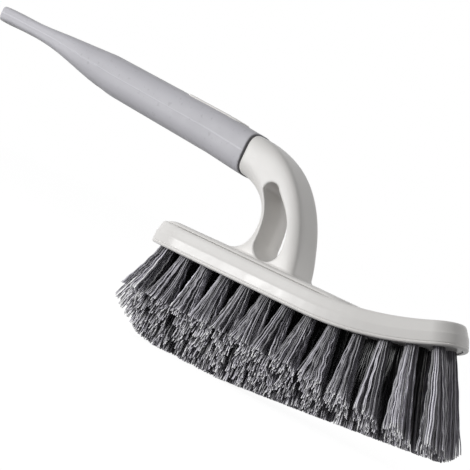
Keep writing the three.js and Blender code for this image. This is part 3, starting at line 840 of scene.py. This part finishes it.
def neck_arch():
    rings = [neck_ring(lerp(NECK_START, 1.0, i / NECK_STEPS)) for i in range(NECK_STEPS + 1)]
    rings.append([(x, y, z - PLATE_THICKNESS / 2) for x, y, z in rings[-1]])
    obj = mesh_object("neck_arch", *skin(rings))
    hole = hole_outline()
    rings = []
    for across, grow in HOLE_DRAFT:
        rings.append([(p[0], across * NECK_WIDTH, p[1]) for p in grown(hole, grow)])
    cut(obj, *skin(rings, mirrored=False))
    soften(obj, NECK_VOXEL, NECK_SMOOTHING)
    dress(obj, NECK_WHITE, "white_plastic", "handle_frame")


neck_arch()


# Grip: soft sleeve, its spigot and the raised inlay

def grip_top_at(share):
    """The grip's top line: a shoulder behind the neck, a gentle rise, a dip and a tail that turns up."""
    shoulder = GRIP_SHOULDER * smoothstep(share, 0.0, SHOULDER_END)
    rise = GRIP_RISE * min(1.0, share / HAND_END)
    dip = TAIL_DIP * math.exp(-((share - TAIL_DIP_PLACE) / TAIL_DIP_SPREAD) ** 2)
    return grip_top + shoulder + rise + TAIL_RISE * smoothstep(share, TAIL_TURN_START, 1.0) - dip


def grip_depth_at(share):
    hand = lerp(GRIP_DEPTH, WAIST_DEPTH, min(1.0, share / HAND_END))
    return lerp(hand, TAIL_DEPTH, smoothstep(share, TAPER_START, TAPER_END))


def grip_power_at(share):
    power = lerp(GRIP_RING_POWER, GRIP_SECTION_POWER, smoothstep(share, 0.0, GRIP_RING_END))
    return lerp(power, TAIL_SECTION_POWER, smoothstep(share, *TAIL_SQUARE))


def grip_station(share, shrink, along=0.0, seam=0.0):
    """The grip's section at a share of its length, with extra points for the seam along its sides."""
    depth = grip_depth_at(share)
    middle = grip_top_at(share) - depth / 2
    from_end = min(1.0, max(0.0, GRIP_LENGTH * (1 - share)) / tail_radius)
    closing = math.sqrt(1 - (1 - from_end) ** 2)
    thin = lerp(TAIL_EDGE_DEPTH, 1.0, min(1.0, closing * TAIL_EDGE_RATE))
    width = lerp(GRIP_WIDTH, TAIL_WIDTH, share) * closing - 2 * shrink
    depth = depth * thin - 2 * shrink
    power = grip_power_at(share)
    heights = []
    for k in range(GRIP_POINTS // 2):
        angle = 2 * math.pi * (k + 0.5) / GRIP_POINTS
        heights.append(depth / 2 * signed_power(math.cos(angle), 2 / power))
    side = GRIP_POINTS // 4
    nearest = heights[side - 1]
    heights[side:side] = [nearest * part for part in SEAM_PARTS]
    half = []
    for z in heights:
        y = width / 2 * max(0.0, 1 - abs(2 * z / depth) ** power) ** (1 / power)
        ridge = seam * max(0.0, 1 - abs(z) / (SEAM_PARTS[0] * nearest))
        half.append((ring_x - share * GRIP_LENGTH + along, y + ridge, middle + z))
    return half + [(x, -y, z) for x, y, z in reversed(half)]


def on_grip(outline, levels):
    """Rings of an outline function at (grow, height) levels over the grip's top line."""
    rings = []
    for grow, height in levels:
        ring = []
        for p in outline(grow):
            ring.append((p[0], p[1], grip_top_at((ring_x - p[0]) / GRIP_LENGTH) + height))
        rings.append(ring)
    return rings


def slot_outline(grow):
    radius = SLOT_WIDTH / 2 + grow
    start = tail_x + SLOT_END_WALL + SLOT_WIDTH / 2
    stop = tail_x + SLOT_END_WALL + SLOT_LENGTH - SLOT_WIDTH / 2
    return circles_outline([(start, radius), (stop, radius)], arc=16, side=24)


def seam_highlight_and_mouth_shade(place):
    """The parting line on the sleeve's sides gets a painted highlight, and its open end painted shade."""
    x, y, z = (v / MILLIMETRE for v in place)
    x -= SHIFT
    # painted shade in the open end
    if x > ring_x - MOUTH_DEPTH:
        return grey(MOUTH_SHADE)
    share = clamp((ring_x - x) / GRIP_LENGTH)
    from_seam = abs(z - grip_top_at(share) + grip_depth_at(share) / 2)
    # painted highlight on the parting line
    on_seam = from_seam < SEAM_HALF_WIDTH and abs(y) > SLOT_WIDTH
    return grey(SEAM_HIGHLIGHT if on_seam else 1.0)


def grip_sleeve():
    rings = [grip_station(0.0, shrink, along) for shrink, along in MOUTH_RINGS]
    start = 1 - tail_radius / GRIP_LENGTH
    stations = [GRIP_FIRST + (start - GRIP_FIRST) * i / GRIP_STEPS for i in range(GRIP_STEPS + 1)]
    for i in range(1, TAIL_STEPS + 1):
        stations.append(start + (1 - start) * math.sin(math.pi / 2 * TAIL_CLOSE * i / TAIL_STEPS))
    for share in stations:
        rings.append(grip_station(share, 0.0, seam=SEAM_RIDGE * smoothstep(share, *SEAM_FADE)))
    obj = mesh_object("soft_grip", *skin(rings))
    below = [(grow, -TAIL_DEPTH - height) for grow, height in reversed(SLOT_EDGE)]
    cut(obj, *skin(on_grip(slot_outline, below + SLOT_EDGE)))
    # painted highlight on the seam and painted shade in the open end
    paint(obj, [seam_highlight_and_mouth_shade(v.co) for v in obj.data.vertices])
    dress(obj, RUBBER, "grip_rubber", "grip_sleeve")


def grip_spigot():
    rings = [grip_station(0.0, GRIP_WALL + SPIGOT_GAP, along) for along in SPIGOT_ENDS]
    obj = mesh_object("grip_spigot", *skin(rings))
    # painted shade over the spigot, which sits in the gap at the neck
    paint(obj, [grey(MOUTH_SHADE)] * len(obj.data.vertices))
    dress(obj, RUBBER, "grip_rubber")


def grip_inlay():
    middle = ring_x - INLAY_START - INLAY_LENGTH / 2
    radius = INLAY_WIDTH / 2
    reach = INLAY_LENGTH / 2 - radius

    def outline(grow):
        return circles_outline([(middle - reach, radius + grow), (middle + reach, radius + grow)], arc=24)

    levels = [(0.0, INLAY_PROUD - INLAY_THICKNESS)]
    levels += [(grow, INLAY_PROUD + height) for grow, height in INLAY_EDGE]
    obj = mesh_object("top_inlay", *skin(on_grip(outline, levels)))
    dress(obj, WHITE, "white_plastic", "grip_inlay")


grip_sleeve()
grip_spigot()
grip_inlay()


# Bristles: white tuft plates and dense crimped filaments

def toe_reach(x, y):
    """How far a point lies ahead of the toe circle's middle, and past that circle where it is ahead."""
    ahead = np.maximum(0.0, x - toe_end + TOE_RADIUS)
    past = np.where(ahead > 0.0, np.hypot(ahead, y) - TOE_RADIUS, 0.0)
    return ahead, past


def trim_at(x, y):
    """Height of the cut sole: flat along the middle, with bevelled flanks, a raised heel and a rocker."""
    heel = np.maximum(0.0, heel_end + HEEL_TRIM_LENGTH - x) / HEEL_TRIM_LENGTH
    toe = np.maximum(0.0, x - toe_end + TOE_TRIM_LENGTH - heel_radius) / TOE_TRIM_LENGTH
    corner = np.maximum(0.0, toe_reach(x, y)[1] - TOE_CORNER_START) / TOE_CORNER_LENGTH
    rocker = TOE_TRIM_RISE * np.minimum(1.0, toe) ** TOE_TRIM_POWER + TOE_CORNER_RISE * corner ** 2
    ridge = HEEL_TRIM_RISE * heel ** 2 + rocker
    flank = np.clip((np.abs(y) - SOLE_HALF_WIDTH) / (FLANK_HALF_WIDTH - SOLE_HALF_WIDTH), 0.0, 1.0)
    return ridge + (np.maximum(FLANK_RISE, ridge) - ridge) * flank


def tuft_places():
    """Tufts in up to five rows, of which some end where the toe narrows."""
    places = []
    span = BLOCK_LENGTH - TUFT_EDGE - TUFT_TOE_EDGE
    columns = round(span / TUFT_PITCH)
    pitch = span / columns
    for row in range(-TUFT_OUTER_ROW, TUFT_OUTER_ROW + 1):
        for column in range(columns + 1):
            x = heel_end + TUFT_EDGE + column * pitch
            room = min(half_width_at(x, TUFT_EDGE), TUFT_OUTER_ROW * TUFT_ROW_PITCH)
            pair = room >= TUFT_LEAST_GAP / 2
            middle = room >= TUFT_LEAST_GAP or not pair
            inner = room / TUFT_OUTER_ROW >= TUFT_LEAST_GAP
            if (middle, inner, pair)[abs(row)]:
                places.append((x, row * room / TUFT_OUTER_ROW))
    return places, pitch


def tuft_frame(x, y):
    """Root of a tuft in its plate, and the middle of its tips in plan."""
    root = sweep(x, y, TUFT_PLATE_RECESS + TUFT_ROOT)
    axis = sweep(x, y, TUFT_PLATE_RECESS + TUFT_ROOT - 1.0) - root
    near_heel = clamp((heel_end + HEEL_FAN_LENGTH - x) / HEEL_FAN_LENGTH)
    near_toe = clamp(x / toe_end)
    drop = root[2] - float(trim_at(x, y))
    fan = TOE_FAN * near_toe - HEEL_FAN * near_heel
    side = SIDE_FAN * y / (TUFT_OUTER_ROW * TUFT_ROW_PITCH)
    return root, np.array((root[0] - axis[0] / axis[2] * drop + fan, y + side))


def disc(count, first, rng):
    """Points spread evenly over a unit disc, turned at random."""
    i = np.arange(count)
    reach = np.sqrt((i + first) / count)
    turn = i * GOLDEN_ANGLE + rng.uniform(0, TURN_RANGE)
    return np.stack([np.cos(turn), np.sin(turn)], axis=1) * reach[:, None]


def scatter(rng, lock, shared, own):
    """Offsets in plan, of which the filaments of a lock share a part."""
    return rng.normal(0, shared, (LOCKS, 2))[lock] + rng.normal(0, own, (FILAMENTS, 2))


def tuft_tips(middle, drawn, inward, lock, rng):
    """Tips of a tuft's filaments on the sole, pulled in where they reach too far past the toe."""
    stray = np.clip(scatter(rng, lock, *STRAY), -MOST_STRAY, MOST_STRAY)
    tip = middle + drawn * lerp(HEEL_TIP_RADIUS, TUFT_TIP_RADIUS, inward) + stray
    ahead, past = toe_reach(tip[:, 0], tip[:, 1])
    pull = TOE_PULL * np.maximum(0.0, past - TOE_REACH) / (past + TOE_RADIUS)
    tip -= np.stack([ahead, tip[:, 1]], axis=1) * pull[:, None]
    height = trim_at(tip[:, 0], tip[:, 1]) + np.abs(rng.normal(0, TIP_STRAY, FILAMENTS))
    return tip, height


def tuft_paths(x, y, s, rng):
    """Middle lines of one tuft's filaments, which hang together in wavy locks, and each one's lock."""
    root, middle = tuft_frame(x, y)
    direction = disc(FILAMENTS, FIRST_FILAMENT, rng)
    centre = disc(LOCKS, FIRST_LOCK, rng)
    lock = np.argmin(np.linalg.norm(direction[:, None] - centre[None], axis=2), axis=1)
    drawn = lerp(direction, centre[lock], LOCK_PULL)
    inward = smoothstep(x, heel_end + TUFT_PITCH, heel_end + 3 * TUFT_PITCH)
    at_toe = smoothstep(x, toe_end - 2 * TUFT_PITCH, toe_end - TUFT_TOE_EDGE)
    foot = root[:2] + direction * lerp(HEEL_FOOT_RADIUS, TUFT_FOOT_RADIUS, inward)
    foot[:, 0] -= TOE_FOOT_BACK * at_toe
    tip, tip_z = tuft_tips(middle, drawn, inward, lock, rng)
    bend = lerp(TUFT_BEND, TOE_BEND, at_toe)
    ease = (1 - bend) * s + bend * s ** 2
    bow = LEAN_BOW * np.sin(math.pi * s)
    lean = scatter(rng, lock, *LEAN)
    phase = rng.uniform(0, TURN_RANGE, (LOCKS, 2))[lock] + rng.normal(0, WAVE_PHASE, (FILAMENTS, 2))
    waves = rng.uniform(*WAVE_COUNT, (LOCKS, 1))[lock]
    size = rng.uniform(*WAVE_SIZE, (LOCKS, 1))[lock] * rng.uniform(*WAVE_VARIETY, (FILAMENTS, 1))
    growth = np.minimum(1.0, s * WAVE_GROWTH)
    path = np.empty((FILAMENTS, len(s), 3))
    for k in range(2):
        one = slice(k, k + 1)
        wave = size * growth * np.sin(2 * math.pi * waves * s + phase[:, one])
        path[:, :, k] = foot[:, one] + (tip - foot)[:, one] * ease + lean[:, one] * bow + wave
    path[:, :, 2] = root[2] + (tip_z[:, None] - root[2]) * s
    return path, lock


def tuft_tones_and_painted_light(x, y, s, lock, rng):
    """Tones along one tuft's filaments: painted shade at the roots, pale tips that are partly painted
    highlight, painted shade on the rows behind the outer ones, and painted light on the outer rows and
    heel.
    """
    shared = rng.uniform(*LOCK_TONE, (LOCKS, 1))[lock]
    own = LEAST_TONE + TONE_RANGE * rng.uniform(0.0, 1.0, (FILAMENTS, 1)) ** TONE_POWER
    # painted shade towards the roots and painted highlight towards the tips
    tone = shared * own * np.interp(s, *SHADE_AND_LIGHT_ALONG)
    # rows behind the outer ones get painted shade on their roots
    hidden = half_width_at(x, TUFT_EDGE) - abs(y) > TUFT_ROW_PITCH / 2
    if x > heel_end + TUFT_PITCH and hidden:
        return tone * np.interp(s, *HIDDEN_ROW_SHADE)
    # painted light on the outer rows, more of it on the heel
    return tone * lerp(HEEL_PAINTED_LIGHT, OUTER_ROW_PAINTED_LIGHT, smoothstep(x, heel_end, heel_end + HEEL_FAN_LENGTH))


def tuft_mesh(x, y, rng):
    """Vertex array and tones of one tuft's filaments."""
    s = np.linspace(0, 1, FILAMENT_SEGMENTS + 1)
    path, lock = tuft_paths(x, y, s, rng)
    radius = FILAMENT_RADIUS * rng.uniform(*RADIUS_VARIETY, (FILAMENTS, 1, 1))
    corner = 2 * math.pi * (np.arange(FILAMENT_SIDES) + 0.5) / FILAMENT_SIDES
    ring = np.stack([np.cos(corner), np.sin(corner), np.zeros(FILAMENT_SIDES)], axis=1)
    verts = path[:, :, None, :] + radius[..., None] * ring[None, None]
    tone = tuft_tones_and_painted_light(x, y, s, lock, rng)
    return verts.reshape(-1, 3), np.repeat(tone.reshape(-1), FILAMENT_SIDES)


def strand_faces(count):
    ring = (FILAMENT_SEGMENTS + 1) * FILAMENT_SIDES
    faces = []
    for s in range(FILAMENT_SEGMENTS):
        for k in range(FILAMENT_SIDES):
            a = s * FILAMENT_SIDES + k
            b = s * FILAMENT_SIDES + (k + 1) % FILAMENT_SIDES
            faces.append((b, a, a + FILAMENT_SIDES, b + FILAMENT_SIDES))
    faces.append(tuple(range(FILAMENT_SIDES)))
    faces.append(tuple(FILAMENT_SEGMENTS * FILAMENT_SIDES + k for k in reversed(range(FILAMENT_SIDES))))
    one = np.array(faces)
    return (one[None] + (np.arange(count) * ring)[:, None, None]).reshape(-1, one.shape[1])


def tuft_field(name, node, places, rng):
    verts, tones = zip(*[tuft_mesh(x, y, rng) for x, y in places])
    tones = np.concatenate(tones)
    faces = strand_faces(len(places) * FILAMENTS)
    obj = mesh_object(name, np.concatenate(verts), faces.tolist(), sharp=FILAMENT_SHARP)
    # the tones carry the painted shade and light of the filaments
    paint(obj, np.clip(tones[:, None] * np.array(BRISTLE_COLOUR), 0.0, 1.0))
    dress(obj, FILAMENT, "bristle", node)


def tuft_plate(name, start, stop):
    inset = BLOCK_WALL + CLEARANCE

    def loop(grow, height):
        half = []
        for x in np.linspace(start, stop, TUFT_PLATE_POINTS):
            half.append((x, max(half_width_at(x, inset + grow), TUFT_PLATE_LEAST)))
        both = half + [(x, -w) for x, w in reversed(half)]
        return [sweep(x, y, height) for x, y in both]

    rings = [
        loop(0.0, TUFT_PLATE_RECESS + TUFT_PLATE_THICKNESS),
        loop(0.0, TUFT_PLATE_RECESS + TUFT_PLATE_EDGE),
        loop(TUFT_PLATE_EDGE, TUFT_PLATE_RECESS),
    ]
    obj = mesh_object(name, *skin(rings))
    dress(obj, WHITE, "white_plastic")


def bristles():
    rng = np.random.default_rng(SEED)
    places, pitch = tuft_places()
    plates = len(TUFT_PLATES)
    columns = round((BLOCK_LENGTH - TUFT_EDGE - TUFT_TOE_EDGE) / pitch / plates)
    end = BLOCK_WALL + CLEARANCE + TUFT_PLATE_END
    cuts = []
    for k in range(1, plates):
        cuts.append(heel_end + TUFT_EDGE + pitch * (columns * k + TUFT_PLATE_CUT))
    starts = [heel_end + end] + [x + CLEARANCE / 2 for x in cuts]
    stops = [x - CLEARANCE / 2 for x in cuts] + [toe_end - end]
    for node, start, stop in zip(TUFT_PLATES, starts, stops):
        own = [p for p in places if start < p[0] < stop]
        tuft_field(node.replace("bristles", "tufts"), node, own, rng)
        tuft_plate(node.replace("bristles", "tuft_plate"), start, stop)


bristles()

for k in range(1, SCREWS + 1):
    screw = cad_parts[f"base_screw_{k}"]
    screw.data.materials.clear()
    screw.data.materials.append(STEEL)


# Floor, world, lamps and camera

def white_ray(tree):
    """1 for camera, glossy and transmission rays."""
    path = tree.nodes.new("ShaderNodeLightPath")
    seen = path.outputs["Is Camera Ray"]
    for kind in ("Is Glossy Ray", "Is Transmission Ray"):
        more = tree.nodes.new("ShaderNodeMath")
        more.operation = "MAXIMUM"
        tree.links.new(seen, more.inputs[0])
        tree.links.new(path.outputs[kind], more.inputs[1])
        seen = more.outputs[0]
    return seen


def show_white(tree, plain, white, output):
    """Gives the rays that see the picture one shader, and those that only carry light another."""
    mix = tree.nodes.new("ShaderNodeMixShader")
    tree.links.new(white_ray(tree), mix.inputs[0])
    tree.links.new(plain.outputs[0], mix.inputs[1])
    tree.links.new(white.outputs[0], mix.inputs[2])
    tree.links.new(mix.outputs[0], tree.nodes.new(output).inputs["Surface"])


def make_floor():
    corners = [(-1, -1), (1, -1), (1, 1), (-1, 1)]
    mesh = bpy.data.meshes.new("floor")
    mesh.from_pydata([(x * FLOOR_SIZE, y * FLOOR_SIZE, 0) for x, y in corners], [], [(0, 1, 2, 3)])
    obj = bpy.data.objects.new("floor", mesh)
    bpy.context.scene.collection.objects.link(obj)
    mat = bpy.data.materials.new("floor")
    mat.use_nodes = True
    tree = mat.node_tree
    tree.nodes.clear()
    plain = add(tree, "ShaderNodeBsdfDiffuse", Color=(*grey(FLOOR_GREY), 1.0))
    glow = add(tree, "ShaderNodeEmission", Color=(1.0, 1.0, 1.0, 1.0), Strength=FLOOR_GLOW)
    both = tree.nodes.new("ShaderNodeAddShader")
    tree.links.new(plain.outputs[0], both.inputs[0])
    tree.links.new(glow.outputs[0], both.inputs[1])
    show_white(tree, plain, both, "ShaderNodeOutputMaterial")
    mesh.materials.append(mat)


def make_world():
    world = bpy.data.worlds.new("studio")
    bpy.context.scene.world = world
    world.use_nodes = True
    tree = world.node_tree
    tree.nodes.clear()
    fill = add(tree, "ShaderNodeBackground", Color=(1.0, 1.0, 1.0, 1.0), Strength=FILL)
    back = add(tree, "ShaderNodeBackground", Color=(1.0, 1.0, 1.0, 1.0), Strength=1.0)
    show_white(tree, fill, back, "ShaderNodeOutputWorld")


def area_lamp(name, offset, size, power):
    data = bpy.data.lights.new(name, "AREA")
    data.shape = "DISK"
    data.size = size
    data.energy = power
    obj = bpy.data.objects.new(name, data)
    obj.location = TARGET + Vector(offset)
    obj.rotation_euler = Vector(offset).to_track_quat("Z", "Y").to_euler()
    bpy.context.scene.collection.objects.link(obj)


def make_camera():
    turn, roll = math.radians(CAMERA_TURN), math.radians(CAMERA_ROLL)
    back = Vector((math.sin(turn), -math.cos(turn), 0.0))
    right = Vector((math.cos(turn), math.sin(turn), 0.0))
    up = Vector((0.0, 0.0, 1.0))
    x_axis = right * math.cos(roll) + up * math.sin(roll)
    y_axis = up * math.cos(roll) - right * math.sin(roll)
    data = bpy.data.cameras.new("camera")
    data.sensor_width = SENSOR_WIDTH
    data.lens = FOCAL_PIXELS / PICTURE_PIXELS * SENSOR_WIDTH
    data.clip_start = CLIP_START
    data.clip_end = CLIP_END
    obj = bpy.data.objects.new("camera", data)
    place = TARGET + back * CAMERA_DISTANCE
    obj.matrix_world = Matrix((
        (x_axis.x, y_axis.x, back.x, place.x),
        (x_axis.y, y_axis.y, back.y, place.y),
        (x_axis.z, y_axis.z, back.z, place.z),
        (0.0, 0.0, 0.0, 1.0)))
    bpy.context.scene.collection.objects.link(obj)
    bpy.context.scene.camera = obj


make_floor()
make_world()
for lamp in LAMPS:
    area_lamp(*lamp)
make_camera()
bpy.context.scene.view_settings.view_transform = "Standard"
